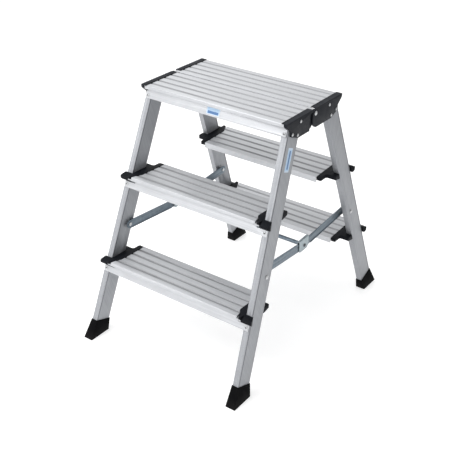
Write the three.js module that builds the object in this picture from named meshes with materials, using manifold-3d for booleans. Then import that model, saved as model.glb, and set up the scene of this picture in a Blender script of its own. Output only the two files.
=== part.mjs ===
// Double-sided folding step ladder: two identical leaning sections hinged under a shared platform.
// Frame: origin on the floor under the middle of the platform, +X along the steps, -Y towards the
// front section, +Z up. All sizes in millimetres.
import * as THREE from 'three';
import { mergeVertices } from 'three/addons/utils/BufferGeometryUtils.js';
import { ConvexGeometry } from 'three/addons/geometries/ConvexGeometry.js';
import Module from 'manifold-3d';

// ---- driving dimensions ----------------------------------------------------------------------
const PLATFORM_Z = 700;          // standing surface of the platform
const STEP_Z = { upper: 465.5, lower: 233.3 };   // at the nosing
const LEAN = Math.tan(21 * Math.PI / 180);   // a stile moves this far outward per mm of drop
const FLARE = 0.0494;            // and this far sideways
const FRONT_Y = -110;            // stile front face at platform level
const OUTER_X = 224.5;           // stile outer face at platform level
const STILE_WIDTH = 17.5;        // across X
const STILE_DEPTH = 58;          // along Y, measured level
const STILE_WALL = 1.6;
const STILE_TOP = 693.4;
const STILE_BOTTOM = 7;
const GAP = 0.35;                // fitting gap between neighbouring pieces

const DECK = 3.5;                // tread thickness at a rib
const GROOVE = { width: 9, depth: 1.8, side: 2.6 };   // side: run of a sloping side
const NOSING = 10.5;             // height of the rounded front edge
const NOSING_LINES = [7.6, 4.4]; // two fine lines along it, below the tread
const APRON = { drop: 37.5, thick: 2 };
const STEP_GROOVES = [-0.5, 27.5, 55.5, 83.5];   // behind the stile's front face
const STEP_FRONT = -22;
const STEP_BACK = 106.5;
const STEP_SLOPE = 0.04;         // a step drops this much per mm towards the back
const RIM = 43.9;                // inner edge of a step cap, in from the stile's outer face
const PLATFORM_FRONT = -133;
const PLATFORM_GROOVES = [-111, -83, -55, -27];
const PLATFORM_BACK = -2.5;
const PLATFORM_HALF_WIDTH = 214.2;
const NOSING_HALF_WIDTH = 220.5;     // the nosing runs on under the rims of the hinge caps

const PIVOT = { y: 0, z: 688 };
const EAR = { inner: [223.6, 227.2], outer: [227.6, 231.2] };
const PIN = { y: -220, z: 315 };             // brace pin in the front stiles
const KNUCKLE_Z = 298;
const LINK = { height: 25, sheet: 1.5, outer: 220, frontLip: 216.8, rearWeb: 216.6 };
const ROUND = 12;                // facets of a small round

// ---- small geometry helpers --------------------------------------------------------------------
const wasm = await Module();
wasm.setup();

const stileY = (z) => FRONT_Y - (PLATFORM_Z - z) * LEAN;
const stileX = (z) => OUTER_X + (PLATFORM_Z - z) * FLARE;

function solid(geometry) {
  const bare = new THREE.BufferGeometry();
  bare.setAttribute('position', geometry.getAttribute('position').clone());
  if (geometry.index) bare.setIndex(geometry.index.clone());
  const merged = mergeVertices(bare, 1e-4);
  const corners = [];
  for (let i = 0; i < merged.index.count; i += 3) {
    const [a, b, c] = [0, 1, 2].map((k) => merged.index.getX(i + k));
    if (a !== b && b !== c && c !== a) corners.push(a, b, c);
  }
  return new wasm.Manifold(new wasm.Mesh({
    numProp: 3,
    vertProperties: new Float32Array(merged.getAttribute('position').array),
    triVerts: new Uint32Array(corners),
  }));
}

function geometryOf(manifold) {
  const mesh = manifold.getMesh();
  const geometry = new THREE.BufferGeometry();
  geometry.setAttribute('position', new THREE.BufferAttribute(new Float32Array(mesh.vertProperties), 3));
  geometry.setIndex(new THREE.BufferAttribute(new Uint32Array(mesh.triVerts), 1));
  const flat = geometry.toNonIndexed();
  flat.computeVertexNormals();
  return flat;
}

function anticlockwise(points) {
  const corners = points.map(([a, b]) => new THREE.Vector2(a, b));
  return THREE.ShapeUtils.isClockWise(corners) ? corners.reverse() : corners;
}

function shapeOf(points, hole) {
  const shape = new THREE.Shape(anticlockwise(points));
  if (hole) shape.holes.push(new THREE.Path(anticlockwise(hole)));
  return shape;
}

// Plan outline [x, y] raised from z0 to z1.
function plate(points, z0, z1, hole) {
  const geometry = new THREE.ExtrudeGeometry(shapeOf(points, hole), { depth: z1 - z0, bevelEnabled: false });
  geometry.translate(0, 0, z0);
  return geometry;
}

// Side outline [y, z] carried from x0 to x1.
function rail(points, x0, x1) {
  const geometry = new THREE.ExtrudeGeometry(shapeOf(points), { depth: x1 - x0, bevelEnabled: false });
  const turn = new THREE.Matrix4().makeBasis(
    new THREE.Vector3(0, 1, 0), new THREE.Vector3(0, 0, 1), new THREE.Vector3(1, 0, 0));
  geometry.applyMatrix4(turn);
  geometry.translate(x0, 0, 0);
  return geometry;
}

function box(x0, x1, y0, y1, z0, z1) {
  const geometry = new THREE.BoxGeometry(x1 - x0, y1 - y0, z1 - z0);
  geometry.translate((x0 + x1) / 2, (y0 + y1) / 2, (z0 + z1) / 2);
  return geometry;
}

// Profile [radius, height] turned about a line from "base" along "direction".
function turned(profile, base, direction) {
  const points = profile.map(([r, h]) => new THREE.Vector2(r, h));
  const geometry = new THREE.LatheGeometry(points, ROUND);
  const turn = new THREE.Quaternion().setFromUnitVectors(new THREE.Vector3(0, 1, 0), direction);
  geometry.applyQuaternion(turn);
  geometry.translate(base.x, base.y, base.z);
  return geometry;
}

function drill(radius, from, direction, length) {
  return solid(turned([[0, 0], [radius, 0], [radius, length], [0, length]], from, direction));
}

// Leans and flares a piece drawn upright at platform level on the given side.
function leaned(geometry, side) {
  const shear = new THREE.Matrix4().set(
    1, 0, -FLARE * side, FLARE * PLATFORM_Z * side,
    0, 1, LEAN, -LEAN * PLATFORM_Z,
    0, 0, 1, 0,
    0, 0, 0, 1);
  geometry.applyMatrix4(shear);
  return geometry;
}

const mirrored = (points, side) => points.map(([x, y]) => [x * side, y]);

function arc(centre, radius, fromDeg, toDeg, steps) {
  const points = [];
  for (let i = 0; i <= steps; i += 1) {
    const a = (fromDeg + (toDeg - fromDeg) * i / steps) * Math.PI / 180;
    points.push([centre[0] + radius * Math.cos(a), centre[1] + radius * Math.sin(a)]);
  }
  return points;
}

// ---- finishes -------------------------------------------------------------------------------------
const FINISH = {
  aluminium: { color: 0xc9cbcf, roughness: 0.42, metalness: 0.9 },
  plastic: { color: 0x2c3033, roughness: 0.6, metalness: 0.0 },
  rubber: { color: 0x141516, roughness: 0.8, metalness: 0.0 },
  zinc: { color: 0x8d9aa1, roughness: 0.4, metalness: 0.9 },
  rivet: { color: 0xd6d8da, roughness: 0.3, metalness: 0.9 },
};

const group = new THREE.Group();
group.name = 'folding_step_ladder';

function add(name, shape, finish, turn = 1) {
  const geometry = geometryOf(shape);
  if (turn < 0) geometry.rotateZ(Math.PI);
  const mesh = new THREE.Mesh(geometry, new THREE.MeshStandardMaterial(FINISH[finish]));
  mesh.name = name;
  group.add(mesh);
}

// ---- one leaning section, drawn as the front one ----------------------------------------------------
const ACROSS = new THREE.Vector3(1, 0, 0);
const FRONT_NORMAL = new THREE.Vector3(0, -1, LEAN).normalize();
const APRON_RIVET_Z = [670, STEP_Z.upper - 29, STEP_Z.lower - 29.3];
const RIVET_INSET = 9.2;

function apronRivetBase(z, side) {
  return new THREE.Vector3((stileX(z) - RIVET_INSET) * side, stileY(z) - APRON.thick - GAP, z);
}

// Box section with two shallow extrusion lines on the outer face.
function stileOutline() {
  const [x0, x1] = [OUTER_X - STILE_WIDTH, OUTER_X];
  const [y0, y1] = [FRONT_Y, FRONT_Y + STILE_DEPTH];
  const points = [[x0, y0 + 1], [x0 + 1, y0], [x1 - 1, y0], [x1, y0 + 1]];
  for (const y of [y0 + 2.4, y1 - 4.8]) {
    points.push([x1, y], [x1 - 0.6, y + 0.4], [x1 - 0.6, y + 2], [x1, y + 2.4]);
  }
  points.push([x1, y1 - 1], [x1 - 1, y1], [x0 + 1, y1], [x0, y1 - 1]);
  return points;
}

function stile(side) {
  const inner = [
    [OUTER_X - STILE_WIDTH + STILE_WALL, FRONT_Y + STILE_WALL],
    [OUTER_X - STILE_WALL, FRONT_Y + STILE_WALL],
    [OUTER_X - STILE_WALL, FRONT_Y + STILE_DEPTH - STILE_WALL],
    [OUTER_X - STILE_WIDTH + STILE_WALL, FRONT_Y + STILE_DEPTH - STILE_WALL],
  ];
  const tube = plate(mirrored(stileOutline(), side), STILE_BOTTOM, STILE_TOP, mirrored(inner, side));
  let body = solid(leaned(tube, side));
  for (const z of APRON_RIVET_Z) {
    const start = apronRivetBase(z, side).addScaledVector(FRONT_NORMAL, 2);
    body = body.subtract(drill(2.7, start, FRONT_NORMAL.clone().negate(), 10));
  }
  const pinStart = new THREE.Vector3(side > 0 ? 200 : -260, PIN.y, PIN.z);
  return body.subtract(drill(3.3, pinStart, ACROSS, 60));
}

// Ribbed top, rounded nosing, apron lying on the stiles and a short rear flange.
function treadOutline(topZ, front, back, grooves, flangeDrop, slope) {
  const yFace = (z) => stileY(z) - GAP;
  const deckZ = (y) => topZ - slope * (y - front);
  const bottom = topZ - APRON.drop;
  const lip = topZ - NOSING;
  const points = [[front + 2, topZ]];
  for (const y of grooves) {
    const [a, b] = [y - GROOVE.width / 2, y + GROOVE.width / 2];
    const floor = deckZ(y) - GROOVE.depth;
    points.push([a, deckZ(a)], [a + GROOVE.side, floor], [b - GROOVE.side, floor], [b, deckZ(b)]);
  }
  points.push([back, deckZ(back)], [back, deckZ(back) - flangeDrop], [back - 1.8, deckZ(back) - flangeDrop]);
  points.push([back - 1.8, deckZ(back) - DECK], [yFace(topZ - DECK) - 0.2, topZ - DECK - slope * 22]);
  points.push([yFace(lip), lip], [yFace(bottom), bottom], [yFace(bottom) - APRON.thick, bottom]);
  points.push([yFace(lip - 1.5) - APRON.thick, lip - 1.5], [front + 4, lip - 0.5], [front + 1, lip]);
  points.push([front, lip + 1.5]);
  for (const drop of NOSING_LINES) {
    const z = topZ - drop;
    points.push([front, z - 0.6], [front + 0.7, z - 0.2], [front + 0.7, z + 0.2], [front, z + 0.6]);
  }
  points.push([front, topZ - 2.2], [front + 0.6, topZ - 0.6]);
  return points;
}

function apronStrip(topZ, dropFrom) {
  const [high, low] = [topZ - dropFrom, topZ - APRON.drop];
  const face = (z) => stileY(z) - GAP;
  const reach = stileX(high) - 1.5;
  return solid(rail([
    [face(high), high], [face(low), low], [face(low) - APRON.thick, low], [face(high) - APRON.thick, high],
  ], -reach, reach));
}

function withRivetHoles(body, z) {
  let drilled = body;
  for (const side of [-1, 1]) {
    const start = apronRivetBase(z, side).addScaledVector(FRONT_NORMAL, 2);
    drilled = drilled.subtract(drill(2.7, start, FRONT_NORMAL.clone().negate(), 10));
  }
  return drilled;
}

// Plan of one tread end, as [in from the stile's outer face, behind its front face].
function treadEnd() {
  const [narrow, wide] = [-RIM - 0.4, -28.3];
  const radius = wide - narrow;
  return [[narrow, STEP_BACK + 30], ...arc([wide, 14], radius, 180, 236, 5), [wide, STEP_FRONT - 20]];
}

function step(topZ, rivetZ) {
  const [x, y] = [stileX(topZ), stileY(topZ)];
  const grooves = STEP_GROOVES.map((g) => y + g);
  const outline = treadOutline(topZ, y + STEP_FRONT, y + STEP_BACK, grooves, 16, STEP_SLOPE);
  const right = treadEnd().map(([a, b]) => [x + a, y + b]);
  const left = right.map(([a, b]) => [-a, b]).reverse();
  const blank = solid(rail(outline, -x, x));
  const deck = blank.intersect(solid(plate([...right, ...left], topZ - 60, topZ + 10)));
  const noseEnds = box(20.3 - x, x - 20.3, y + STEP_FRONT - 5, y - 3, topZ - NOSING - 5, topZ - 6.4);
  return withRivetHoles(deck.add(blank.intersect(solid(noseEnds))).add(apronStrip(topZ, 22)), rivetZ);
}

function platformHalf() {
  const outline = treadOutline(PLATFORM_Z, PLATFORM_FRONT, PLATFORM_BACK, PLATFORM_GROOVES, 11, 0);
  const deck = solid(rail(outline, -PLATFORM_HALF_WIDTH, PLATFORM_HALF_WIDTH));
  const tab = solid(box(PLATFORM_HALF_WIDTH - 4, 227, -12.6, PLATFORM_BACK, 697.2, PLATFORM_Z));
  const nose = solid(rail(outline, -NOSING_HALF_WIDTH, NOSING_HALF_WIDTH))
    .intersect(solid(box(-230, 230, PLATFORM_FRONT - 5, -118.5, 685, 699)));
  return withRivetHoles(deck.add(tab).add(nose).add(apronStrip(PLATFORM_Z, 12)), APRON_RIVET_Z[0]);
}

// Plastic end cap: embraces the stile in front, inside and behind, and closes the end of the step.
function stepCap(topZ, side) {
  const [x, y] = [stileX(topZ), stileY(topZ)];
  const inner = treadEnd().slice(1, -1).map(([a, b]) => [a + 0.4, b]).reverse();
  const plan = [
    [8, -20.5], [-26.5, -22.5], ...inner, [-RIM, 105], [-RIM + 1.5, 106.5], [-30, 106.5], [-28.5, 105],
    [-28.5, 81.5], [-24.5, 77.5], [0, 77.5], [1, 76.5], [1, 40], [4, 0], [9.5, -17],
  ].map(([a, b]) => [(x + a) * side, y + b]);
  const profile = [
    [-22.5, 0.2], [-21, 1.2], [99, -3.6], [106.5, -5.5], [106.5, -13.5], [78, -13.5], [57, -17.5],
    [-12, -20], [-17, -15.5], [-22.5, -11],
  ];
  const across = (points, from, to) => solid(rail(
    points.map(([a, b]) => [y + a, topZ + b]),
    Math.min((x + from) * side, (x + to) * side), Math.max((x + from) * side, (x + to) * side)));
  const slot = plate(mirrored([
    [OUTER_X - STILE_WIDTH - GAP, FRONT_Y - GAP], [OUTER_X + 40, FRONT_Y - GAP],
    [OUTER_X + 40, FRONT_Y + STILE_DEPTH + GAP], [OUTER_X - STILE_WIDTH - GAP, FRONT_Y + STILE_DEPTH + GAP],
  ], side), topZ - 40, topZ + 20);
  const noseSlope = across([[-30, -9.5], [-2, 1.2], [-2, 6], [-30, 6]], -20, 15);
  const noseRoom = across([[-27, -25], [-2.6, -25], [-2.6, -6], [-27, -6]], -60, -19.9);
  const plug = across([[6, -12.5], [88, -12.5], [88, -9], [6, -5.6]], -58, -40);
  return across(profile, -50, 12).intersect(solid(plate(plan, topZ - 30, topZ + 5)))
    .subtract(noseSlope).subtract(noseRoom).add(plug).subtract(solid(leaned(slot, side)));
}

// Plastic hinge cap at the end of a half platform. One side carries the outer ear, the other the inner.
function hingeCap(side, ear) {
  const rimEnd = ear === 'outer' ? -4 : -13;
  const bar = solid(rail([
    [-134, 694], [rimEnd, 694], [rimEnd, 701], [rimEnd - 0.5, 701.5], [-132.5, 701.5], [-134, 700],
  ], 214.5, 231.2));
  const corner = solid(rail([
    [-134, 699], [-133, 692], [-131, 690], [-121.8, 682.2], [-120, 682.2], [-117.6, 688], [-117.6, 699],
  ], 221.1, 231.2));
  const rim = bar.subtract(solid(box(214, 221.1, -140, -117.9, 680, 699.4))).add(corner);
  const front = [[-131.5, 695], [-131, 690], [-114.3, 675.7], [-114.3, 661.7], [-81, 648.5]];
  const [low, high] = EAR.outer;
  let body;
  if (ear === 'outer') {
    const lobe = arc([-8.6, 670.5], 22, -90, 0, 5);
    const tip = arc([PIVOT.y, PIVOT.z], 12.5, 0, 90, 4);
    const skin = solid(rail([...front, ...lobe, ...tip, [-6, 700.5], [-6, 695]], low, high));
    const earRoom = solid(box(214, 227.4, -13, 0, 693, 698.5));
    body = rim.subtract(earRoom).add(skin);
  } else {
    const skin = solid(rail([...front, [-26.5, 648.5], [-26.5, 695]], low, high));
    const web = solid(rail([[-50, 695], [-50, 648.5], [-26.5, 648.5], [-26.5, 695]], EAR.inner[0], high));
    const lobe = [[-50, 695], [-50, 648.5], [-27, 648.5], [-15, 652], [-6, 661], [2, 674], [7, 683]];
    const tip = arc([PIVOT.y, PIVOT.z], 8.5, 0, 90, 4);
    const tongue = solid(rail([...lobe, ...tip, [-13, 696.5], [-13, 695]], EAR.inner[0], EAR.inner[1]));
    body = rim.add(skin).add(web).add(tongue);
  }
  body = body.subtract(drill(3.3, new THREE.Vector3(210, PIVOT.y, PIVOT.z), ACROSS, 40));
  return side > 0 ? body : body.mirror([1, 0, 0]);
}

// Shoe around the foot of a stile, flaring to a flat sole.
function foot(side) {
  const [toe, heel] = [54, 34.5];
  const top = (z, y) => [
    new THREE.Vector3((stileX(z) + 1.5) * side, y, z),
    new THREE.Vector3((stileX(z) - STILE_WIDTH - 1.5) * side, y, z),
  ];
  const sole = (z, grow) => [-8 - grow, STILE_DEPTH + 5 + grow].flatMap((dy) => [
    new THREE.Vector3((stileX(0) + 7.5 + grow) * side, stileY(0) + dy, z),
    new THREE.Vector3((stileX(0) - STILE_WIDTH - 5 - grow) * side, stileY(0) + dy, z),
  ]);
  const corners = [
    ...top(toe, stileY(toe) - 1.5), ...top(heel, stileY(heel) + STILE_DEPTH + 1.5),
    ...sole(0, -0.6), ...sole(1, 0),
  ];
  const pocket = plate(mirrored([
    [OUTER_X - STILE_WIDTH - GAP, FRONT_Y - GAP], [OUTER_X + GAP, FRONT_Y - GAP],
    [OUTER_X + GAP, FRONT_Y + STILE_DEPTH + GAP], [OUTER_X - STILE_WIDTH - GAP, FRONT_Y + STILE_DEPTH + GAP],
  ], side), STILE_BOTTOM - GAP, 90);
  return solid(new ConvexGeometry(corners)).subtract(solid(leaned(pocket, side)));
}

function apronRivet(z, side) {
  return solid(turned([
    [0, -4.5], [2.4, -4.5], [2.4, 0.1], [4.6, 0.1], [4.3, 1], [2.6, 1.9], [0, 2.2],
  ], apronRivetBase(z, side), FRONT_NORMAL));
}

function section(prefix, turn) {
  const steps = [['upper', APRON_RIVET_Z[1]], ['lower', APRON_RIVET_Z[2]]];
  const rivets = [['platform', APRON_RIVET_Z[0]], ...steps];
  add(`${prefix}_platform_half`, platformHalf(), 'aluminium', turn);
  for (const [level, rivetZ] of steps) {
    add(`${prefix}_${level}_step`, step(STEP_Z[level], rivetZ), 'aluminium', turn);
  }
  for (const side of [-1, 1]) {
    const label = side * turn > 0 ? 'right' : 'left';
    add(`${prefix}_stile_${label}`, stile(side), 'aluminium', turn);
    add(`${prefix}_hinge_cap_${label}`, hingeCap(side, side > 0 ? 'inner' : 'outer'), 'plastic', turn);
    add(`${prefix}_foot_${label}`, foot(side), 'rubber', turn);
    for (const [level] of steps) {
      add(`${prefix}_${level}_step_cap_${label}`, stepCap(STEP_Z[level], side), 'plastic', turn);
    }
    for (const [level, z] of rivets) {
      add(`${prefix}_${level}_apron_rivet_${label}`, apronRivet(z, side), 'rivet', turn);
    }
  }
}

// ---- hinge rivets and folding braces -------------------------------------------------------------------
function hingeRivet(side) {
  const body = turned([
    [0, 220.8], [5, 220.8], [5, 223.2], [2.9, 223.2], [2.9, 231.5],
    [6, 231.5], [5.4, 233], [3, 234], [0, 234.3],
  ], new THREE.Vector3(0, PIVOT.y, PIVOT.z), ACROSS);
  return side > 0 ? solid(body) : solid(body).mirror([1, 0, 0]);
}

// Sheet channel with flat rounded ends; "web" is the face that carries the holes.
function link(from, to, side, webX, flangeX, knuckleEnd) {
  const length = Math.hypot(to.y - from.y, to.z - from.z);
  const angle = Math.atan2(to.z - from.z, to.y - from.y);
  const half = LINK.height / 2;
  const webOutline = [...arc([0, 0], half, 90, 270, 6), ...arc([length, 0], half, -90, 90, 6)];
  const start = knuckleEnd === 'end' ? 0 : 36;
  const stop = knuckleEnd === 'end' ? length - 36 : length;
  const sheet = (outline, x0, x1) => solid(rail(outline, Math.min(x0, x1), Math.max(x0, x1)));
  let body = sheet(webOutline, webX[0], webX[1]);
  for (const [z0, z1] of [[-half, -half + LINK.sheet], [half - LINK.sheet, half]]) {
    body = body.add(sheet([[start, z0], [stop, z0], [stop, z1], [start, z1]], flangeX[0], flangeX[1]));
  }
  for (const s of [0, length]) {
    body = body.subtract(drill(3.4, new THREE.Vector3(200, s, 0), ACROSS, 40));
  }
  const placed = body.rotate([angle * 180 / Math.PI, 0, 0]).translate([0, from.y, from.z]);
  return side > 0 ? placed : placed.mirror([1, 0, 0]);
}

// Channel over the knuckle, riding on the rear link: its top web stops the sag.
function knuckleBracket(side) {
  const tilt = Math.atan2(PIN.z - KNUCKLE_Z, -PIN.y) * 180 / Math.PI;
  const cheek = [[-27, -10], [-22, -13.5], [12, -13.5], [21, -5], [21, 22], [-27, 22]];
  let body = solid(rail(cheek, 214.8, 216.3));
  body = body.add(solid(rail(cheek, 220.7, 222.2)));
  body = body.add(solid(rail([[-27, 20.5], [21, 20.5], [21, 22], [-27, 22]], 214.8, 222.2)));
  body = body.subtract(drill(3.4, new THREE.Vector3(200, 0, 0), ACROSS, 40));
  const placed = body.rotate([tilt * 0.5, 0, 0]).translate([0, 0, KNUCKLE_Z]);
  return side > 0 ? placed : placed.mirror([1, 0, 0]);
}

function crossBar() {
  const half = [[5.6, 214.4], [2.9, 214.4], [2.9, 222.5], [5, 222.5], [5, 223.4], [3.5, 224], [0, 224]];
  const other = half.map(([r, h]) => [r, -h]).reverse();
  return solid(turned([...other, ...half], new THREE.Vector3(0, 0, KNUCKLE_Z), ACROSS));
}

// Dome head outside the stile, shank through it, collar and small head holding the link.
function frontBracePin(side) {
  const outer = stileX(PIN.z);
  const inner = outer - STILE_WIDTH;
  const body = turned([
    [0, 216.4], [5.2, 216.4], [5.2, 218.1], [2.9, 218.1], [2.9, 220.4], [5.5, 220.4], [5.5, inner - 0.5],
    [2.9, inner - 0.5], [2.9, outer + 0.4], [6.5, outer + 0.4], [6, outer + 1.8], [3.5, outer + 2.8],
    [0, outer + 3.1],
  ], new THREE.Vector3(0, PIN.y, PIN.z), ACROSS);
  return side > 0 ? solid(body) : solid(body).mirror([1, 0, 0]);
}

// Rear stile pin: the same dome outside, ending inside the stile so that the link end stays free.
function rearBracePin(side) {
  const outer = stileX(PIN.z);
  const body = turned([
    [0, outer - STILE_WIDTH + 0.6], [2.9, outer - STILE_WIDTH + 0.6], [2.9, outer + 0.4],
    [6.5, outer + 0.4], [6, outer + 1.8], [3.5, outer + 2.8], [0, outer + 3.1],
  ], new THREE.Vector3(0, -PIN.y, PIN.z), ACROSS);
  return side > 0 ? solid(body) : solid(body).mirror([1, 0, 0]);
}

// Rivet in the free end of the rear link.
function linkRivet(side) {
  const body = turned([
    [0, 214.8], [5.2, 215.2], [5.2, 216.2], [2.9, 216.2], [2.9, 218.3],
    [5.5, 218.3], [5.5, 221.5], [0, 221.5],
  ], new THREE.Vector3(0, -PIN.y, PIN.z), ACROSS);
  return side > 0 ? solid(body) : solid(body).mirror([1, 0, 0]);
}

function braces() {
  const frontPin = { y: PIN.y, z: PIN.z };
  const rearPin = { y: -PIN.y, z: PIN.z };
  const knuckle = { y: 0, z: KNUCKLE_Z };
  const frontWeb = [LINK.outer - LINK.sheet, LINK.outer];
  const rearWeb = [LINK.rearWeb, LINK.rearWeb + LINK.sheet];
  for (const side of [-1, 1]) {
    const label = side > 0 ? 'right' : 'left';
    add(`brace_front_link_${label}`,
      link(frontPin, knuckle, side, frontWeb, [LINK.frontLip, LINK.outer], 'end'), 'zinc');
    add(`brace_rear_link_${label}`,
      link(knuckle, rearPin, side, rearWeb, [LINK.rearWeb, LINK.outer], 'start'), 'zinc');
    add(`brace_knuckle_bracket_${label}`, knuckleBracket(side), 'zinc');
    add(`brace_front_pin_${label}`, frontBracePin(side), 'rivet');
    add(`brace_rear_pin_${label}`, rearBracePin(side), 'rivet');
    add(`brace_rear_link_rivet_${label}`, linkRivet(side), 'rivet');
    add(`hinge_rivet_${label}`, hingeRivet(side), 'rivet');
  }
  add('brace_cross_bar', crossBar(), 'zinc');
}

section('front', 1);
section('rear', -1);
braces();

export default group;
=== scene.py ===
"""Finished look of a double-sided folding step ladder, in metres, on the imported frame.

Two identical leaning sections hang from a shared hinged platform. Every piece rides on the body of
the section or brace that carries it.
"""
import logging
import math
from dataclasses import dataclass
from enum import Enum

import bmesh
import bpy
import numpy as np
from mathutils import Matrix, Vector


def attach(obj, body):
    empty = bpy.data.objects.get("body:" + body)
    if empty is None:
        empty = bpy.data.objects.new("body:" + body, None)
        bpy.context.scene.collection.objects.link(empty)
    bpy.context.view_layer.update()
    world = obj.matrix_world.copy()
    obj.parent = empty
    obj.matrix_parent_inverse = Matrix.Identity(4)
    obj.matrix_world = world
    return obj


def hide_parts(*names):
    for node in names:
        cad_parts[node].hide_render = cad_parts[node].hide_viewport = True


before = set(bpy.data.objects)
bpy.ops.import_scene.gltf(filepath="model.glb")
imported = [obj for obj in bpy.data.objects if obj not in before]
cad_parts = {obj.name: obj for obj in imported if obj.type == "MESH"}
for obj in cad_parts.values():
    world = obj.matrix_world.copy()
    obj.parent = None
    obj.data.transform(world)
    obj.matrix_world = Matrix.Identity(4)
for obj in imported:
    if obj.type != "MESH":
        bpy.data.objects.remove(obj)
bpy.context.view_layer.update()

log = logging.getLogger("step_ladder")

MM = 0.001
LEAN = math.radians(21.0)        # how far a stile leans out of the upright
FLARE = 0.0494                   # sideways run of a stile per unit of drop
PLATFORM_Z = 0.700
STILE_FRONT = 0.110              # stile face, out from the middle, at platform level
STILE_OUTER = 0.2245             # stile outer face at platform level
APRON_PROUD = 2.35 * MM          # apron face, out from the stile's face
MERGE = 2e-6                     # corners closer than this are one corner
FLAT = math.radians(1.0)         # faces that turn less than this are one flat area
SHARP = math.radians(28.0)       # edges that turn more than this are rounded
CREASE = math.radians(32.0)      # edges that turn more than this stay sharp in the shading
RELIEF = 0.6                     # strength of every surface relief

Colour = tuple[float, float, float]


class Side(Enum):
    """Which end of the steps a piece sits at."""

    LEFT = "left"
    RIGHT = "right"

    @property
    def sign(self) -> int:
        """+1 towards +X, -1 towards -X."""
        return 1 if self is Side.RIGHT else -1


class Section(Enum):
    """One of the two leaning halves."""

    FRONT = "front"
    REAR = "rear"

    @property
    def sign(self) -> int:
        """-1 for the half that stands towards -Y, +1 for the other."""
        return -1 if self is Section.FRONT else 1

    @property
    def body(self) -> str:
        """Name of the body that carries this half."""
        return f"{self.value}_section"


class Level(Enum):
    """Height of a tread, with the height of its apron rivets."""

    PLATFORM = ("platform", 0.670)
    UPPER = ("upper", 0.4365)
    LOWER = ("lower", 0.204)

    @property
    def word(self) -> str:
        """Name as used in the piece names."""
        return self.value[0]

    @property
    def rivet_z(self) -> float:
        """Height of the apron rivets in metres."""
        return self.value[1]


def stile_face(z: float) -> float:
    """Distance of the stile's front face from the middle plane: 110 mm plus the drop times tan 21."""
    return STILE_FRONT + (PLATFORM_Z - z) * math.tan(LEAN)


def stile_outer(z: np.ndarray | float) -> np.ndarray | float:
    """Distance of the stile's outer face from the centre: 224.5 mm plus the drop times the flare."""
    return STILE_OUTER + (PLATFORM_Z - z) * FLARE


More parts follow.
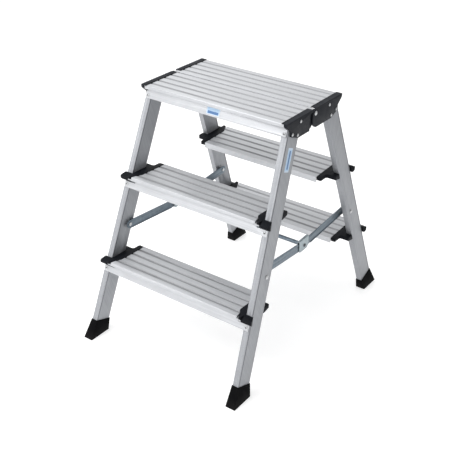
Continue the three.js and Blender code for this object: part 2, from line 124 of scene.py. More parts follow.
# ---- node trees --------------------------------------------------------------------------------
class Recipe:
    """A material being mixed round one Principled shader."""

    def __init__(self, name: str, roughness: float, metallic: float, gloss: float = 0.5) -> None:
        """Starts an empty material.

        Args:
            name: name of the material.
            roughness: starting roughness of the shader.
            metallic: how metallic the surface is, 0 to 1.
            gloss: strength of the mirror part of a bare surface, 0.5 for common plastic.
        """
        self.material = bpy.data.materials.new(name)
        self.material.use_nodes = True
        self.tree = self.material.node_tree
        self.shader = self.tree.nodes["Principled BSDF"]
        self.shader.inputs["Roughness"].default_value = roughness
        self.shader.inputs["Metallic"].default_value = metallic
        self.shader.inputs["Specular IOR Level"].default_value = gloss

    def node(self, kind: str, links: dict[str, bpy.types.NodeSocket] | None = None,
             values: dict[str, object] | None = None) -> bpy.types.Node:
        """Adds one node.

        Args:
            kind: Blender's node type.
            links: sockets to plug in, by input name.
            values: constants to set, by input name.

        Returns:
            The new node.
        """
        made = self.tree.nodes.new(kind)
        for key, socket in (links or {}).items():
            self.tree.links.new(socket, made.inputs[key])
        for key, value in (values or {}).items():
            made.inputs[key].default_value = value
        return made

    def place(self, scale: tuple[float, float, float],
              turn: tuple[float, float, float] = (0.0, 0.0, 0.0)) -> bpy.types.NodeSocket:
        """Object coordinates, turned and then stretched.

        Args:
            scale: stretch along each axis after the turn.
            turn: turn about X, Y and Z in radians.

        Returns:
            The socket that carries the position.
        """
        where = self.node("ShaderNodeTexCoord").outputs["Object"]
        turned_to = self.node("ShaderNodeMapping", {"Vector": where}, {"Rotation": turn})
        stretched = self.node("ShaderNodeMapping", {"Vector": turned_to.outputs[0]}, {"Scale": scale})
        return stretched.outputs[0]

    def noise(self, at: bpy.types.NodeSocket, scale: float, detail: float = 3.0) -> bpy.types.NodeSocket:
        """Cloudy noise, 0 to 1, at a place."""
        made = self.node("ShaderNodeTexNoise", {"Vector": at}, {"Scale": scale, "Detail": detail})
        return made.outputs["Fac"]

    def span(self, value: bpy.types.NodeSocket, low: float, high: float,
             start: float = 0.3, stop: float = 0.7) -> bpy.types.NodeSocket:
        """Carries a value from start..stop over to low..high, clamped."""
        made = self.node("ShaderNodeMapRange", {"Value": value}, {
            "From Min": start, "From Max": stop, "To Min": low, "To Max": high})
        return made.outputs["Result"]

    def blend(self, amount: bpy.types.NodeSocket, first: object, second: object) -> bpy.types.NodeSocket:
        """Mixes two colours.

        Args:
            amount: 0 gives the first, 1 the second.
            first: a colour triple or a colour socket.
            second: a colour triple or a colour socket.

        Returns:
            The mixed colour.
        """
        made = self.tree.nodes.new("ShaderNodeMix")
        made.data_type = "RGBA"
        self.tree.links.new(amount, made.inputs[0])
        for slot, colour in ((6, first), (7, second)):
            if isinstance(colour, tuple):
                made.inputs[slot].default_value = (*colour, 1.0)
            else:
                self.tree.links.new(colour, made.inputs[slot])
        return made.outputs[2]

    def sum(self, operation: str, first: bpy.types.NodeSocket, second: object) -> bpy.types.NodeSocket:
        """One arithmetic step between a socket and a socket or number."""
        made = self.tree.nodes.new("ShaderNodeMath")
        made.operation = operation
        self.tree.links.new(first, made.inputs[0])
        if isinstance(second, (int, float)):
            made.inputs[1].default_value = second
        else:
            self.tree.links.new(second, made.inputs[1])
        return made.outputs[0]

    def within(self, value: bpy.types.NodeSocket, ends: tuple[float, float]) -> bpy.types.NodeSocket:
        """1 where the value lies between the two ends, else 0."""
        above = self.sum("GREATER_THAN", value, ends[0])
        return self.sum("MULTIPLY", above, self.sum("LESS_THAN", value, ends[1]))

    def axis(self, name: str) -> bpy.types.NodeSocket:
        """One of the object coordinates X, Y or Z in metres."""
        where = self.node("ShaderNodeTexCoord").outputs["Object"]
        return self.node("ShaderNodeSeparateXYZ", {"Vector": where}).outputs[name]

    def done(self, colour: bpy.types.NodeSocket, roughness: bpy.types.NodeSocket,
             height: bpy.types.NodeSocket, depth: float) -> bpy.types.Material:
        """Plugs the finished sockets into the shader.

        Args:
            colour: base colour.
            roughness: roughness.
            height: relief, 0 to 1.
            depth: real depth of the relief in metres.

        Returns:
            The finished material.
        """
        relief = self.node("ShaderNodeBump", {"Height": height}, {"Strength": RELIEF, "Distance": depth})
        self.tree.links.new(colour, self.shader.inputs["Base Color"])
        self.tree.links.new(roughness, self.shader.inputs["Roughness"])
        self.tree.links.new(relief.outputs[0], self.shader.inputs["Normal"])
        return self.material


@dataclass(frozen=True)
class ExtrudedAluminium:
    """Mill-finish aluminium with fine lines along the way it was pressed."""

    name: str
    along: tuple[float, float, float] = (1.2, 420.0, 420.0)   # stretch that leaves lines along X
    turn: float = 0.0                # turn about X that lays the lines along a leaning piece
    # Default tones, used by the stiles: painted shade, darker than the treads' tones for the same aluminium.
    dark: Colour = (0.295, 0.305, 0.325)
    light: Colour = (0.375, 0.385, 0.405)
    worn: Colour = (0.27, 0.275, 0.285)       # small rubbed spots
    dirt: Colour = (0.245, 0.25, 0.26)        # painted shade for the floor and sides of a groove
    # Painted reflection: the dark tone that the rounded front corner of a stile reflects.
    corner_dirt: Colour = (0.17, 0.175, 0.19)
    polish: float = 0.44             # lowest roughness
    line: tuple[float, float] = (0.0, 0.0)    # band behind the stile's face that gets the painted dark reflection
    grime: str = ""                  # name of the attribute that is 1 in a groove, where the painted shade goes, if any

    def material(self) -> bpy.types.Material:
        """Lines, cloudy tone, small worn spots, painted shade in the grooves and a painted dark reflection
        along a stile's front corner.
        """
        mix = Recipe(self.name, 0.42, 0.6)
        lines = mix.noise(mix.place(self.along, (self.turn, 0.0, 0.0)), 1.0, 4.0)
        cloud = mix.noise(mix.place((1.0, 1.0, 1.0)), 14.0)
        speck = mix.noise(mix.place((1.0, 1.0, 1.0)), 620.0, 2.0)
        tone = mix.sum("ADD", mix.sum("MULTIPLY", lines, 0.65), mix.sum("MULTIPLY", cloud, 0.35))
        plain = mix.blend(mix.span(tone, 0.0, 1.0, 0.36, 0.64), self.dark, self.light)
        wear_and_shade = mix.blend(mix.span(speck, 0.0, 0.25, 0.66, 0.74), plain, self.worn)
        # Painted shade: faces down in a groove are darkened to stand for the shade that falls in it.
        if self.grime:
            reader = mix.tree.nodes.new("ShaderNodeAttribute")
            reader.attribute_name = self.grime
            down = mix.sum("MULTIPLY", reader.outputs["Fac"], mix.span(cloud, 0.8, 1.0))
            wear_and_shade = mix.blend(down, wear_and_shade, self.dirt)
        # Painted reflection: a dark band along the stile's front corner stands for what the rounded corner
        # reflects.
        if self.line[1] > 0.0:
            wear_and_shade = mix.blend(self.corner_line(mix), wear_and_shade, self.corner_dirt)
        return mix.done(wear_and_shade, mix.span(tone, self.polish, self.polish + 0.12), lines, 0.06 * MM)

    def corner_line(self, mix: Recipe) -> bpy.types.NodeSocket:
        """1 in the band of painted dark reflection along the front corner of a stile, else 0.

        The distance behind the front face is 110 mm plus the drop times tan 21, less the distance from
        the middle plane.

        Args:
            mix: the material that is being mixed.

        Returns:
            The mask.
        """
        drop = mix.sum("MULTIPLY", mix.sum("SUBTRACT", mix.axis("Z"), PLATFORM_Z), -math.tan(LEAN))
        out = mix.sum("ABSOLUTE", mix.axis("Y"), 0.0)
        behind = mix.sum("SUBTRACT", mix.sum("ADD", drop, STILE_FRONT), out)
        return mix.within(behind, self.line)


@dataclass(frozen=True)
class MouldedPlastic:
    """Dark satin plastic with a fine spark-eroded grain."""

    name: str
    base: Colour = (0.004, 0.005, 0.007)
    worn: Colour = (0.007, 0.008, 0.011)
    lit: Colour = (0.016, 0.018, 0.023)       # tone of the lighter outer strip
    rim: float = 0.0                 # beyond this distance from the centre the face is lighter
    fade: float = 0.4 * MM           # half the width over which it grows lighter

    def material(self) -> bpy.types.Material:
        """Grain, faint handling marks, and a lighter outer strip where the piece has one."""
        mix = Recipe(self.name, 0.5, 0.0, 0.08)
        at = mix.place((1.0, 1.0, 1.0))
        grain = mix.noise(at, 1900.0, 2.0)
        cloud = mix.noise(at, 30.0)
        colour = mix.blend(mix.span(cloud, 0.0, 1.0), self.base, self.worn)
        if self.rim > 0.0:
            out = mix.sum("ABSOLUTE", mix.axis("X"), 0.0)
            strip = mix.span(out, 0.0, 0.8, self.rim - self.fade, self.rim + self.fade)
            colour = mix.blend(strip, colour, self.lit)
        return mix.done(colour, mix.span(cloud, 0.42, 0.56), grain, 0.12 * MM)


@dataclass(frozen=True)
class SoleRubber:
    """Near-black rubber, dusty close to the floor."""

    name: str
    base: Colour = (0.0025, 0.0025, 0.003)
    dust: Colour = (0.022, 0.021, 0.020)
    dust_height: float = 0.025

    def material(self) -> bpy.types.Material:
        """Rough grain with dust that fades out 25 mm above the floor."""
        mix = Recipe(self.name, 0.65, 0.0, 0.05)
        at = mix.place((1.0, 1.0, 1.0))
        grain = mix.noise(at, 900.0)
        cloud = mix.noise(at, 45.0)
        low = mix.span(mix.axis("Z"), 0.7, 0.0, 0.0, self.dust_height)
        colour = mix.blend(mix.sum("MULTIPLY", low, cloud), self.base, self.dust)
        return mix.done(colour, mix.span(cloud, 0.55, 0.75), grain, 0.2 * MM)


@dataclass(frozen=True)
class ZincPlate:
    """Bluish zinc plating over pressed steel."""

    name: str
    dark: Colour = (0.115, 0.145, 0.175)
    light: Colour = (0.19, 0.23, 0.265)
    roughness: float = 0.36

    def material(self) -> bpy.types.Material:
        """Mottled plating with faint drawing lines along Y."""
        mix = Recipe(self.name, self.roughness, 0.9)
        blotch = mix.noise(mix.place((1.0, 1.0, 1.0)), 90.0)
        lines = mix.noise(mix.place((300.0, 6.0, 300.0)), 1.0)
        tone = mix.sum("ADD", mix.sum("MULTIPLY", blotch, 0.6), mix.sum("MULTIPLY", lines, 0.4))
        colour = mix.blend(mix.span(tone, 0.0, 1.0, 0.36, 0.64), self.dark, self.light)
        rough = mix.span(blotch, self.roughness - 0.07, self.roughness + 0.08)
        return mix.done(colour, rough, lines, 0.05 * MM)


@dataclass(frozen=True)
class SolidMetal:
    """Plain turned or formed metal for rivets and pins."""

    name: str
    base: Colour = (0.62, 0.63, 0.64)
    shade: Colour = (0.42, 0.43, 0.44)
    roughness: float = 0.3

    def material(self) -> bpy.types.Material:
        """Small tone changes from handling and forming."""
        mix = Recipe(self.name, self.roughness, 0.9)
        cloud = mix.noise(mix.place((1.0, 1.0, 1.0)), 260.0)
        fine = mix.noise(mix.place((1.0, 1.0, 1.0)), 2200.0)
        colour = mix.blend(mix.span(cloud, 0.0, 1.0), self.shade, self.base)
        rough = mix.span(cloud, self.roughness - 0.06, self.roughness + 0.08)
        return mix.done(colour, rough, fine, 0.03 * MM)


@dataclass(frozen=True)
class StickerFilm:
    """Pale printed film with a plain field and a plain band, and nothing written on it."""

    name: str
    field: Colour = (0.40, 0.56, 0.74)
    band: Colour = (0.06, 0.16, 0.36)
    edge: Colour = (0.52, 0.62, 0.74)
    across: tuple[float, float] = (0.0, 1.0)      # where the band lies, as parts of the width
    along: tuple[float, float] = (0.62, 0.80)     # and of the length
    border: float = 0.43             # the edge begins here, as a part of the size from the middle

    def material(self) -> bpy.types.Material:
        """Border and band follow the sticker's own UV, with a little scuffing."""
        mix = Recipe(self.name, 0.4, 0.0)
        uv = mix.node("ShaderNodeTexCoord").outputs["UV"]
        split = mix.node("ShaderNodeSeparateXYZ", {"Vector": uv})
        across, along = split.outputs["X"], split.outputs["Y"]
        inside = mix.sum("MULTIPLY", mix.within(across, self.across), mix.within(along, self.along))
        colour = mix.blend(inside, self.field, self.band)
        middle = mix.sum("ABSOLUTE", mix.sum("SUBTRACT", across, 0.5), 0.0)
        height = mix.sum("ABSOLUTE", mix.sum("SUBTRACT", along, 0.5), 0.0)
        border = mix.sum("GREATER_THAN", mix.sum("MAXIMUM", middle, height), self.border)
        colour = mix.blend(border, colour, self.edge)
        scuff = mix.noise(mix.place((1.0, 1.0, 1.0)), 180.0)
        return mix.done(colour, mix.span(scuff, 0.34, 0.48), scuff, 0.02 * MM)


@dataclass(frozen=True)
class StudioPaper:
    """White backdrop paper for the floor."""

    name: str
    base: float = 0.62
    lift: float = 0.02               # how much lighter the cloudy patches are
    glow: float = 0.52

    def material(self) -> bpy.types.Material:
        """Matte white with a slight even lift so that it stays white under soft light."""
        mix = Recipe(self.name, 0.9, 0.0)
        cloud = mix.noise(mix.place((1.0, 1.0, 1.0)), 3.0)
        tone = (self.base, self.base, self.base)
        pale = (self.base + self.lift, self.base + self.lift, self.base + self.lift)
        mix.shader.inputs["Emission Color"].default_value = (1.0, 1.0, 1.0, 1.0)
        mix.shader.inputs["Emission Strength"].default_value = self.glow
        return mix.done(mix.blend(cloud, tone, pale), mix.span(cloud, 0.88, 0.92), cloud, 0.01 * MM)


# ---- mesh helpers ------------------------------------------------------------------------------
def object_of(name: str, mesh: bpy.types.Mesh) -> bpy.types.Object:
    """Links a mesh into the scene as an object at the origin."""
    made = bpy.data.objects.new(name, mesh)
    bpy.context.scene.collection.objects.link(made)
    return made


def grid_object(name: str, grid: np.ndarray, closed: bool, caps: bool) -> bpy.types.Object:
    """A surface from a grid of points, with its doubles merged and its faces turned outwards.

    Row i and column j of the grid share a face with row i+1 and column j+1. The columns close into
    a ring where asked, and the first and last rows may be filled by one flat face each.

    Args:
        name: name of the object.
        grid: rows by columns by 3.
        closed: whether the last column joins the first.
        caps: whether the first and last rows are filled.

    Returns:
        The new object.
    """
    rows, columns, _ = grid.shape
    index = np.arange(rows * columns).reshape(rows, columns)
    nxt = np.roll(index, -1, axis=1)
    reach = columns if closed else columns - 1
    quads = np.stack([index[:-1, :reach], nxt[:-1, :reach], nxt[1:, :reach], index[1:, :reach]], axis=-1)
    faces = quads.reshape(-1, 4).tolist()
    if caps:
        faces += [index[0, ::-1].tolist(), index[-1].tolist()]
    mesh = bpy.data.meshes.new(name)
    mesh.from_pydata(grid.reshape(-1, 3), [], faces)
    clean = bmesh.new()
    clean.from_mesh(mesh)
    bmesh.ops.remove_doubles(clean, verts=clean.verts, dist=1e-7)
    bmesh.ops.recalc_face_normals(clean, faces=clean.faces)
    clean.to_mesh(mesh)
    clean.free()
    smooth(mesh)
    return object_of(name, mesh)


def smooth(mesh: bpy.types.Mesh) -> None:
    """Shades a mesh smooth apart from its creases."""
    mesh.polygons.foreach_set("use_smooth", np.ones(len(mesh.polygons), dtype=bool))
    mesh.set_sharp_from_angle(angle=CREASE)
    mesh.update()


def face_centres(mesh: bpy.types.Mesh) -> np.ndarray:
    """The middle of every face, as an n by 3 array."""
    centres = np.empty(len(mesh.polygons) * 3)
    mesh.polygons.foreach_get("center", centres)
    return centres.reshape(-1, 3)


def turned(name: str, profile: np.ndarray, foot: Vector, axis: Vector, around: int = 36) -> bpy.types.Object:
    """A turned piece: radius r and height h at angle t stand at foot + h*axis + r*(cos t*u + sin t*v).

    Args:
        name: name of the object.
        profile: n by 2 array of radius and height in metres, first and last radius 0.
        foot: point on the axis at height 0.
        axis: direction of the heights.
        around: steps round the axis.

    Returns:
        The new object.
    """
    along = axis.normalized()
    u = along.orthogonal().normalized()
    v = along.cross(u)
    t = np.linspace(0.0, 2.0 * math.pi, around, endpoint=False)
    ring = np.outer(np.cos(t), np.array(u)) + np.outer(np.sin(t), np.array(v))
    radius, height = profile[:, 0], profile[:, 1]
    grid = np.array(foot) + height[:, None, None] * np.array(along) + radius[:, None, None] * ring[None]
    return grid_object(name, grid, closed=True, caps=False)


def dome(radius: float, base: float, rise: float, steps: int = 8) -> np.ndarray:
    """Profile of a domed head: a quarter ellipse from (radius, base) up to (0, base + rise)."""
    t = np.linspace(0.0, math.pi / 2.0, steps)
    return np.column_stack([radius * np.cos(t), base + rise * np.sin(t)])


def rounded_rectangle(width: float, height: float, corner: float, steps: int = 6) -> np.ndarray:
    """Outline of a rectangle centred on 0 with quarter circles of the given radius at its corners."""
    t = np.linspace(0.0, math.pi / 2.0, steps)
    quarters = []
    for k, (sx, sy) in enumerate(((1, 1), (-1, 1), (-1, -1), (1, -1))):
        a = t + k * math.pi / 2.0
        quarters.append(np.column_stack([
            sx * (width / 2.0 - corner) + corner * np.cos(a),
            sy * (height / 2.0 - corner) + corner * np.sin(a)]))
    return np.concatenate(quarters)


def softened(node: str, edge: float, segments: int = 2) -> bpy.types.Object:
    """A merged copy of a solid node, with its flat areas joined and its edges rounded.

    Args:
        node: name of the solid node.
        edge: radius of the rounding in metres.
        segments: steps across the rounding.

    Returns:
        The new object, which is not yet dressed.
    """
    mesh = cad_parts[node].data.copy()
    mesh.materials.clear()
    clean = bmesh.new()
    clean.from_mesh(mesh)
    bmesh.ops.remove_doubles(clean, verts=clean.verts, dist=MERGE)
    bmesh.ops.dissolve_limit(clean, angle_limit=FLAT, verts=clean.verts, edges=clean.edges)
    clean.to_mesh(mesh)
    clean.free()
    mesh.polygons.foreach_set("use_smooth", np.ones(len(mesh.polygons), dtype=bool))
    made = object_of(f"{node}_finished", mesh)
    rounding = made.modifiers.new("edge_rounding", "BEVEL")
    rounding.width = edge
    rounding.segments = segments
    rounding.limit_method = "ANGLE"
    rounding.angle_limit = SHARP
    rounding.harden_normals = True
    return made


def dress(piece: bpy.types.Object, material: bpy.types.Material, body: str, slot: str | None,
          *nodes: str) -> bpy.types.Object:
    """Gives a piece its material and its body, and hides the nodes it stands for.

    Args:
        piece: the finished piece.
        material: its material.
        body: name of the body that it rides on.
        slot: record slot, or None for a piece that has none; not used.
        nodes: solid nodes that the piece replaces.

    Returns:
        The same piece.
    """
    if not piece.data.materials:
        piece.data.materials.append(material)
    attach(piece, body)
    if nodes:
        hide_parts(*nodes)
    log.info("%s rides on %s", piece.name, body)
    return piece


# ---- sub-assemblies ----------------------------------------------------------------------------
@dataclass
class Stiles:
    """The four leaning box-section stiles."""

    edge: float = 0.9 * MM
    corner_line: tuple[float, float] = (1.6 * MM, 5.2 * MM)   # the painted dark reflection by the front corner

    def build(self) -> None:
        """Copies each stile with softened edges and lays the extrusion lines along its lean."""
        for section in Section:
            finish = ExtrudedAluminium(
                f"{section.value}_stile_aluminium", along=(420.0, 420.0, 1.2), turn=section.sign * LEAN,
                line=self.corner_line)
            material = finish.material()
            for side in Side:
                node = f"{section.value}_stile_{side.value}"
                dress(softened(node, self.edge), material, section.body, "aluminium", node)


@dataclass
class Treads:
    """Two platform halves and four steps, one ribbed extrusion throughout."""

    edge: float = 0.35 * MM
    nosing: float = 0.022             # step nosing, ahead of the stile's front face
    platform_nosing: float = 0.023
    slope: float = 0.04               # a step drops this much towards the back
    groove_depth: float = 1.8 * MM
    depth_part: tuple[float, float] = (0.2, 1.3)   # a groove's faces lie this far down, as parts of it
    nosing_depth: float = 4.0 * MM    # no groove begins nearer to the front than this
    attribute: str = "in_groove"

    def build(self) -> None:
        """Copies each tread with softened ribs; the extrusion lines run across the ladder."""
        # Painted light: these tread tones are lighter than the stiles' tones, a lit copy of the same
        # aluminium.
        finish = ExtrudedAluminium(
            "tread_aluminium", dark=(0.49, 0.50, 0.52), light=(0.58, 0.59, 0.61), grime=self.attribute)
        material = finish.material()
        for section in Section:
            for word in ("platform_half", "upper_step", "lower_step"):
                node = f"{section.value}_{word}"
                piece = softened(node, self.edge)
                self.mark_grooves(piece, section, word == "platform_half")
                dress(piece, material, section.body, "aluminium", node)

    def mark_grooves(self, piece: bpy.types.Object, section: Section, level: bool) -> None:
        """Marks the faces that lie down in a groove: 1 for its floor and sides, 0 for everything else.

        The ridge plane drops by the slope from the nosing. A face is in a groove where its middle is
        below that plane, but no deeper than a groove, and behind the nosing.

        Args:
            piece: the tread.
            section: the half that it belongs to.
            level: True for a platform half, which does not slope.
        """
        mesh = piece.data
        middle = face_centres(mesh)
        out = section.sign * middle[:, 1]
        top = max(corner[2] for corner in piece.bound_box)
        front = stile_face(top) + (self.platform_nosing if level else self.nosing)
        plane = top - (0.0 if level else self.slope) * (front - out)
        depth = (plane - middle[:, 2]) / self.groove_depth
        low, high = self.depth_part
        in_groove = (depth > low) & (depth < high) & (out < front - self.nosing_depth)
        mesh.attributes.new(self.attribute, "FLOAT", "FACE").data.foreach_set(
            "value", in_groove.astype(np.float32))


@dataclass
class StepCaps:
    """Plastic caps that close the step ends and clip round the stiles."""

    edge: float = 0.8 * MM

    def build(self) -> None:
        """Copies each cap with rounded edges."""
        material = MouldedPlastic("step_cap_plastic").material()
        for section in Section:
            for side in Side:
                for level in (Level.UPPER, Level.LOWER):
                    node = f"{section.value}_{level.word}_step_cap_{side.value}"
                    dress(softened(node, self.edge), material, section.body, "cap", node)


@dataclass
class HingeCaps:
    """Plastic hinge caps at the platform ends, with the rivets that hold them to the stiles."""

    edge: float = 0.7 * MM
    plate_x: float = 231.2 * MM       # outer face of a cap plate
    rim_split: float = 218.4 * MM     # where the dark lip of the rim ends
    rivet_radius: float = 4.2 * MM
    rivet_rise: float = 1.7 * MM
    dome_part: float = 0.86           # width of the dome as a part of its flange
    flange_foot: float = -1.0 * MM    # the flange runs from here, inside the plate
    flange_top: float = 0.35 * MM     # to here, proud of it
    rivet_places: tuple[tuple[float, float], ...] = (
        (70.0 * MM, 689.0 * MM), (107.0 * MM, 665.5 * MM), (82.5 * MM, 656.5 * MM))

    def build(self) -> None:
        """Copies the caps and adds three domed rivets to each plate."""
        plastic = MouldedPlastic("hinge_cap_plastic", rim=self.rim_split).material()
        rivet = SolidMetal("cap_rivet_metal").material()
        for section in Section:
            for side in Side:
                node = f"{section.value}_hinge_cap_{side.value}"
                dress(softened(node, self.edge), plastic, section.body, "cap", node)
                for count, (out, z) in enumerate(self.rivet_places, start=1):
                    self.cap_rivet(section, side, count, out, z, rivet)

    def cap_rivet(self, section: Section, side: Side, count: int, out: float, z: float,
                  metal: bpy.types.Material) -> None:
        """One domed rivet head on a thin flange.

        Args:
            section: the half that it belongs to.
            side: the end that it sits at.
            count: number used in its name.
            out: distance from the middle plane.
            z: height.
            metal: its material.
        """
        flange = np.array([
            [0.0, self.flange_foot], [self.rivet_radius, self.flange_foot],
            [self.rivet_radius, self.flange_top]])
        crown = dome(self.rivet_radius * self.dome_part, self.flange_top, self.rivet_rise)
        profile = np.concatenate([flange, crown])
        foot = Vector((side.sign * self.plate_x, section.sign * out, z))
        name = f"{section.value}_hinge_cap_rivet_{count}_{side.value}"
        head = turned(name, profile, foot, Vector((side.sign, 0.0, 0.0)))
        dress(head, metal, section.body, "rivet")


@dataclass
class Feet:
    """Rubber shoes."""

    edge: float = 1.6 * MM

    def build(self) -> None:
        """Copies each shoe with well-rounded edges."""
        material = SoleRubber("shoe_rubber").material()
        for section in Section:
            for side in Side:
                node = f"{section.value}_foot_{side.value}"
                dress(softened(node, self.edge, 3), material, section.body, "foot", node)


@dataclass
class ApronRivets:
    """Hollow rivets through the aprons into the stiles: a bright rim round a core painted near black as shade
    in the hollow.
    """

    inset: float = 9.2 * MM
    radius: float = 4.6 * MM
    rise: float = 1.9 * MM
    core: float = 1.9 * MM
    shank: float = 2.4 * MM
    length: float = 4.5 * MM
    seat: float = 0.1 * MM            # the head starts this far off the apron

    def build(self) -> None:
        """One rivet at each end of each apron."""
        rim = SolidMetal("apron_rivet_metal").material()
        # Painted shade: the shallow recessed middle is near black to stand for the shade inside the rivet's
        # hollow.
        core = SolidMetal(
            "apron_rivet_hole_shade", base=(0.07, 0.07, 0.075), shade=(0.04, 0.04, 0.045), roughness=0.5).material()
        for section in Section:
            for side in Side:
                for level in Level:
                    self.rivet(section, side, level, rim, core)

    def rivet(self, section: Section, side: Side, level: Level, rim: bpy.types.Material,
              core: bpy.types.Material) -> None:
        """Turns one rivet about the normal of the apron face.

        Args:
            section: the half that it belongs to.
            side: the end that it sits at.
            level: the tread whose apron it holds.
            rim: material of the head and shank.
            core: material of the recessed middle, painted near black as shade.
        """
        z = level.rivet_z
        normal = Vector((0.0, section.sign, math.tan(LEAN))).normalized()
        foot = Vector((
            side.sign * (stile_outer(z) - self.inset), section.sign * (stile_face(z) + APRON_PROUD), z))
        head = dome(self.radius, self.seat, self.rise)
        head = head[head[:, 0] > self.core]
        lip = head[-1, 1]
        profile = np.concatenate([
            [[0.0, -self.length], [self.shank, -self.length], [self.shank, self.seat]], head,
            [[self.core, lip + 0.05 * MM], [self.core * 0.9, lip - 0.7 * MM], [0.0, lip - 0.6 * MM]]])
        node = f"{section.value}_{level.word}_apron_rivet_{side.value}"
        piece = turned(f"{node}_finished", profile, foot, normal)
        piece.data.materials.append(rim)
        piece.data.materials.append(core)
        offset = face_centres(piece.data) - np.array(foot)
        height = offset @ np.array(normal)
        away = np.linalg.norm(offset - height[:, None] * np.array(normal), axis=1)
        dark = ((height > 0.0) & (away < self.core)).astype(np.int32)
        piece.data.polygons.foreach_set("material_index", dark)
        dress(piece, rim, section.body, "rivet", node)


@dataclass
class Braces:
    """Folding spreaders: channel links, knuckle brackets, cross bar and their pins."""

    edge: float = 0.4 * MM
    pin_out: float = 0.220            # stile pins, out from the middle plane
    pin_z: float = 0.315
    knuckle_z: float = 0.298
    pivot_z: float = 0.688
    bar: float = 5.6 * MM
    head_from: float = 0.2224         # the dark rolled-over heads of the bar lie beyond this
    stile_wall: float = 17.5          # outer face to inner face of a stile, in mm

    def build(self) -> None:
        """Builds the links, brackets, bar and pins, and dresses each in its own metal."""
        zinc = ZincPlate("link_zinc").material()
        pale = ZincPlate("bracket_zinc", dark=(0.28, 0.33, 0.36), light=(0.38, 0.44, 0.46)).material()
        pin = SolidMetal("pin_metal").material()
        for side in Side:
            for word, body in (("front", "front_links"), ("rear", "rear_links")):
                node = f"brace_{word}_link_{side.value}"
                dress(softened(node, self.edge), zinc, body, "brace", node)
            node = f"brace_knuckle_bracket_{side.value}"
            dress(softened(node, self.edge), pale, "rear_links", "brace", node)
            self.pins(side, pin)
        self.cross_bar(zinc)

    def headed(self, name: str, mm: list[tuple[float, float]], side: Side, out: float, z: float,
               body: str, metal: bpy.types.Material) -> None:
        """A pin along X, turned from a profile of radius and distance from the centre, in mm.

        Args:
            name: solid node that it replaces.
            mm: radius and distance pairs in millimetres.
            side: the end that it sits at.
            out: signed place along Y in metres.
            z: height in metres.
            body: body that it rides on.
            metal: its material.
        """
        axis = Vector((side.sign, 0.0, 0.0))
        piece = turned(f"{name}_finished", np.array(mm) * MM, Vector((0.0, out, z)), axis)
        dress(piece, metal, body, "rivet", name)

    def pins(self, side: Side, metal: bpy.types.Material) -> None:
        """The four pins at one end: front and rear stile pins, link rivet and hinge rivet.

        Args:
            side: the end that they sit at.
            metal: their material.
        """
        outer = float(stile_outer(self.pin_z)) / MM
        inner = outer - self.stile_wall
        head = [tuple(p) for p in dome(6.0, outer + 0.8, 2.3)]
        dome_end = [(2.9, outer + 0.4), (6.5, outer + 0.4), (6.5, outer + 0.8), *head]
        front = [(0, 216.4), (5.2, 216.4), (5.2, 218.1), (2.9, 218.1), (2.9, 220.4), (5.5, 220.4),
                 (5.5, inner - 0.5), (2.9, inner - 0.5), *dome_end]
        rear = [(0, inner + 0.6), (2.9, inner + 0.6), *dome_end]
        link = [(0, 214.8), (5.2, 215.2), (5.2, 216.2), (2.9, 216.2), (2.9, 218.3), (5.5, 218.3),
                (5.5, 221.5), (0, 221.5)]
        hinge_head = [tuple(p) for p in dome(5.6, 232.2, 2.1)]
        hinge = [(0, 220.8), (5, 220.8), (5, 223.2), (2.9, 223.2), (2.9, 231.5), (6, 231.5), (6, 232.2),
                 *hinge_head]
        name = side.value
        out, z = self.pin_out, self.pin_z
        self.headed(f"brace_front_pin_{name}", front, side, -out, z, "front_section", metal)
        self.headed(f"brace_rear_pin_{name}", rear, side, out, z, "rear_section", metal)
        self.headed(f"brace_rear_link_rivet_{name}", link, side, out, z, "rear_links", metal)
        self.headed(f"hinge_rivet_{name}", hinge, side, 0.0, self.pivot_z, "front_section", metal)

    def cross_bar(self, metal: bpy.types.Material) -> None:
        """The rod that ties both knuckles, with a shank and a rolled-over head at each end."""
        half = [(self.bar / MM, 214.4), (2.9, 214.4), (2.9, 222.5), (5, 222.5), (5, 223.4), (3.5, 224),
                (0, 224)]
        profile = [(r, -h) for r, h in reversed(half)] + half
        piece = turned("brace_cross_bar_finished", np.array(profile) * MM,
                       Vector((0.0, 0.0, self.knuckle_z)), Vector((1.0, 0.0, 0.0)))
        piece.data.materials.append(metal)
        dark = SolidMetal(
            "bar_head_metal", base=(0.12, 0.13, 0.14), shade=(0.07, 0.075, 0.08), roughness=0.45)
        piece.data.materials.append(dark.material())
        head = (np.abs(face_centres(piece.data)[:, 0]) > self.head_from).astype(np.int32)
        piece.data.polygons.foreach_set("material_index", head)
        dress(piece, metal, "front_links", "brace", "brace_cross_bar")


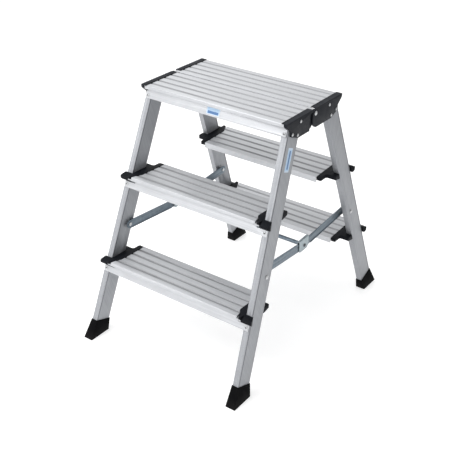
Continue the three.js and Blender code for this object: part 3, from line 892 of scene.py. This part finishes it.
@dataclass
class Stickers:
    """Two plain film stickers with nothing written on them."""

    thickness: float = 0.15 * MM
    lift: float = 0.08 * MM
    stile_size: tuple[float, float] = (0.021, 0.062)
    stile_z: float = 0.601
    stile_inset: float = 0.030        # middle of the sticker, behind the stile's front face
    apron_size: tuple[float, float] = (0.042, 0.020)
    apron_z: float = 0.676
    corner: float = 2.0 * MM

    def build(self) -> None:
        """One sticker on the front right stile and one on the front platform apron."""
        self.on_stile()
        self.on_apron()

    def film(self, name: str, outline: np.ndarray, origin: np.ndarray, across: np.ndarray,
             along: np.ndarray, normal: np.ndarray, finish: StickerFilm) -> None:
        """A film patch: outline (a, b) stands at origin + a*across + b*along + layer*normal.

        Args:
            name: name of the piece.
            outline: n by 2 array in metres, centred on 0.
            origin: middle of the patch on the face.
            across: unit vector of the first outline axis.
            along: vector of the second outline axis.
            normal: unit vector out of the face.
            finish: its finish.
        """
        flat = origin + outline[:, :1] * across + outline[:, 1:] * along
        layers = np.array([self.lift, self.lift + self.thickness])
        grid = flat[None] + layers[:, None, None] * normal
        piece = grid_object(name, grid, closed=True, caps=True)
        mesh = piece.data
        uv = mesh.uv_layers.new(name="film")
        corner = np.empty(len(mesh.loops), dtype=np.int32)
        mesh.loops.foreach_get("vertex_index", corner)
        place = np.empty(len(mesh.vertices) * 3)
        mesh.vertices.foreach_get("co", place)
        offset = place.reshape(-1, 3) - origin
        size = outline.max(axis=0) * 2.0
        across_at = offset @ across / size[0] + 0.5
        along_at = offset @ along / (along @ along) / size[1] + 0.5
        uv.data.foreach_set("uv", np.column_stack([across_at, along_at])[corner].ravel())
        dress(piece, finish.material(), Section.FRONT.body, None)

    def on_stile(self) -> None:
        """The long sticker on the outer face, square to the stile's own length."""
        outline = rounded_rectangle(*self.stile_size, self.corner)
        z = self.stile_z
        place = np.array([stile_outer(z), self.stile_inset - stile_face(z), z])
        along = np.array([-FLARE, math.tan(LEAN), 1.0])
        along /= np.linalg.norm(along)
        across = np.array([FLARE * math.sin(LEAN), math.cos(LEAN), -math.sin(LEAN)])
        across /= np.linalg.norm(across)
        self.film("stile_sticker", outline, place, across, along, np.cross(across, along),
                  StickerFilm("stile_sticker_film", across=(0.38, 0.68), along=(0.12, 0.88)))

    def on_apron(self) -> None:
        """The small sticker in the middle of the platform apron."""
        outline = rounded_rectangle(*self.apron_size, self.corner)
        normal = np.array([0.0, -math.cos(LEAN), math.sin(LEAN)])
        face = -stile_face(self.apron_z) - APRON_PROUD
        self.film("apron_sticker", outline, np.array([0.0, face, self.apron_z]), np.array([1.0, 0.0, 0.0]),
                  np.array([0.0, math.sin(LEAN), math.cos(LEAN)]), normal,
                  StickerFilm("apron_sticker_film", across=(0.1, 0.9), along=(0.1, 0.45)))


Softbox = tuple[str, tuple[float, float, float], float, float]     # name, place, size, watts


@dataclass
class Studio:
    """Floor, lights and camera."""

    floor_size: float = 160.0
    azimuth: float = 35.078
    elevation: float = 29.856
    roll: float = 0.844
    distance: float = 2.5134
    target: tuple[float, float, float] = (-0.0091, 0.0, 0.2633)
    lens: float = 66.342
    shift: tuple[float, float] = (-0.0020, -0.0086)
    sensor: float = 36.0
    world: float = 0.5
    aim: tuple[float, float, float] = (0.0, 0.0, 0.35)   # every softbox faces this point
    softboxes: tuple[Softbox, ...] = (
        ("front_left_softbox", (-1.6, -3.2, 2.4), 3.0, 90.0),
        ("overhead_softbox", (-0.7, -0.8, 3.6), 3.4, 95.0),
        ("rear_left_softbox", (-1.6, 2.2, 3.0), 3.6, 26.0),
        ("front_right_softbox", (2.6, -1.6, 2.4), 1.8, 3.0))

    def build(self) -> None:
        """Lays the paper, sets the lights and places the camera."""
        self.floor()
        self.lights()
        self.camera()
        bpy.context.scene.view_settings.view_transform = "Standard"

    def floor(self) -> None:
        """A level sheet of white paper."""
        s = np.linspace(-self.floor_size / 2.0, self.floor_size / 2.0, 3)
        x, y = np.meshgrid(s, s, indexing="ij")
        grid = np.stack([x, y, np.zeros_like(x)], axis=-1)
        sheet = grid_object("studio_floor", grid, closed=False, caps=False)
        sheet.data.materials.append(StudioPaper("studio_paper").material())

    def softbox(self, name: str, place: tuple[float, float, float], size: float, watts: float) -> None:
        """A square lamp aimed at the middle of the ladder.

        Args:
            name: name of the lamp.
            place: where it hangs.
            size: edge length in metres.
            watts: its power.
        """
        lamp = bpy.data.lights.new(name, "AREA")
        lamp.size = size
        lamp.energy = watts
        stand = bpy.data.objects.new(name, lamp)
        bpy.context.scene.collection.objects.link(stand)
        stand.location = place
        aim = Vector(self.aim) - Vector(place)
        stand.rotation_euler = aim.to_track_quat("-Z", "Y").to_euler()

    def lights(self) -> None:
        """An even white surround and four softboxes."""
        around = bpy.data.worlds.new("studio_surround")
        around.use_nodes = True
        background = around.node_tree.nodes["Background"]
        background.inputs["Color"].default_value = (1.0, 1.0, 1.0, 1.0)
        background.inputs["Strength"].default_value = self.world
        bpy.context.scene.world = around
        for name, place, size, watts in self.softboxes:
            self.softbox(name, place, size, watts)

    def camera(self) -> None:
        """Aims the camera at its target from its angle, distance and roll."""
        azimuth, elevation, roll = map(math.radians, (self.azimuth, self.elevation, self.roll))
        back = Vector((
            math.sin(azimuth) * math.cos(elevation), -math.cos(azimuth) * math.cos(elevation),
            math.sin(elevation)))
        level = Vector((math.cos(azimuth), math.sin(azimuth), 0.0))
        up = back.cross(level)
        right = level * math.cos(roll) + up * math.sin(roll)
        top = up * math.cos(roll) - level * math.sin(roll)
        place = Vector(self.target) + back * self.distance
        view = bpy.data.cameras.new("studio_camera")
        view.sensor_width = self.sensor
        view.lens = self.lens
        view.shift_x, view.shift_y = self.shift
        stand = bpy.data.objects.new("studio_camera", view)
        bpy.context.scene.collection.objects.link(stand)
        stand.matrix_world = Matrix((
            (right.x, top.x, back.x, place.x), (right.y, top.y, back.y, place.y),
            (right.z, top.z, back.z, place.z), (0.0, 0.0, 0.0, 1.0)))
        bpy.context.scene.camera = stand


def plain(box: tuple[Vector, Vector]) -> list[list[float]]:
    """A box's two corners as plain lists."""
    return [[float(value) for value in corner] for corner in box]


def main() -> None:
    """Builds every sub-assembly in order."""
    logging.basicConfig(level=logging.INFO, format="%(name)s: %(message)s")
    for assembly in (Stiles(), Treads(), StepCaps(), HingeCaps(), Feet(), ApronRivets(), Braces(),
                     Stickers(), Studio()):
        log.info("building %s", type(assembly).__name__)
        assembly.build()


if __name__ == "__main__":
    main()
